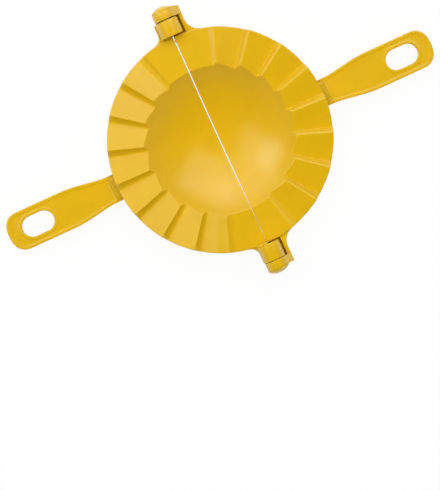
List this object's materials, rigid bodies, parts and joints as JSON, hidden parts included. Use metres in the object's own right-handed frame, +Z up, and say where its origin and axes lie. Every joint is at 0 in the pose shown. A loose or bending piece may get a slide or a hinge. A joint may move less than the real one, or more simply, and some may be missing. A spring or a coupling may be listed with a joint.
{
  "type": "empanada press",
  "caption": "Two hinged plastic half discs with pleated crimping rims, a round bowl, a cutting ring underneath and a slotted handle on each half, lying open.",
  "frame": {"origin": "middle of the press at the table, under the point where the hinge axis crosses the line of the handles", "axes": "+X along the right handle, +Y along the hinge axis to the upper hinge, +Z up"},
  "size_m": [0.313, 0.1948, 0.032],
  "materials": {
    "left_moulding": "semi-gloss moulded polypropylene, yellow",
    "right_moulding": "semi-gloss moulded polypropylene, yellow",
    "hinge_pin": "semi-gloss moulded polypropylene, yellow"
  },
  "bodies": {
    "left_half": {"left_half": "left_moulding", "upper_hinge_pin": "hinge_pin", "lower_hinge_pin": "hinge_pin"},
    "right_half": {"right_half": "right_moulding"}
  },
  "joints": [
    {"name": "fold", "type": "hinge", "parent": "left_half", "child": "right_half", "pos_m": [0, 0, 0.0242], "axis": [0, -1, 0], "range_deg": [0, 180]}
  ]
}
